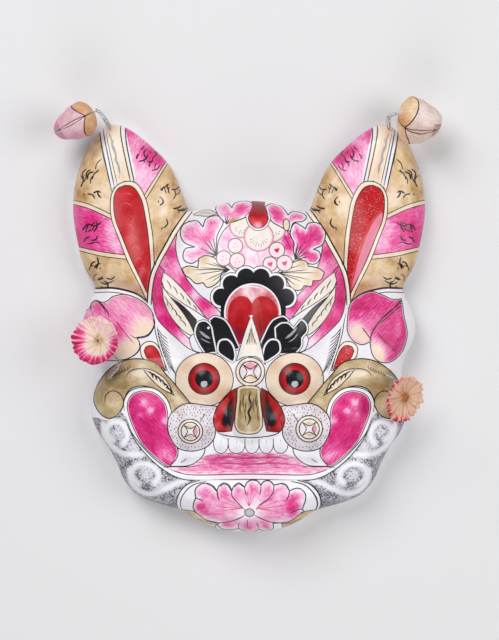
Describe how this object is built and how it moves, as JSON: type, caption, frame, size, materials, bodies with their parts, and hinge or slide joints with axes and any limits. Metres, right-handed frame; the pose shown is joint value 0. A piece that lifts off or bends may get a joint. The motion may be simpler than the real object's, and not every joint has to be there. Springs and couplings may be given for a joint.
{
  "type": "tiger mask",
  "caption": "Hollow painted tiger mask with upright ears, round eyes, a broad toothed muzzle, and buds and flowers on wire springs.",
  "frame": {"origin": "on the floor plane that the back rim rests on, below the centre of the whole mask", "axes": "+X to the viewer's right across the face, +Y up the face towards the ears, +Z out of the face"},
  "size_m": [0.3094, 0.3486, 0.07],
  "materials": {
    "face": "gloss",
    "ear": "gloss",
    "bud": "matte",
    "flower": "matte",
    "wire": "satin"
  },
  "bodies": {
    "root": {"face_shell": "face", "ear_left": "ear", "ear_right": "ear", "ear_spring_left": "wire", "ear_spring_right": "wire", "ear_bud_left": "bud", "ear_bud_right": "bud", "cheek_spring_left": "wire", "cheek_spring_right": "wire", "cheek_flower_left": "flower", "cheek_flower_right": "flower"}
  },
  "joints": []
}
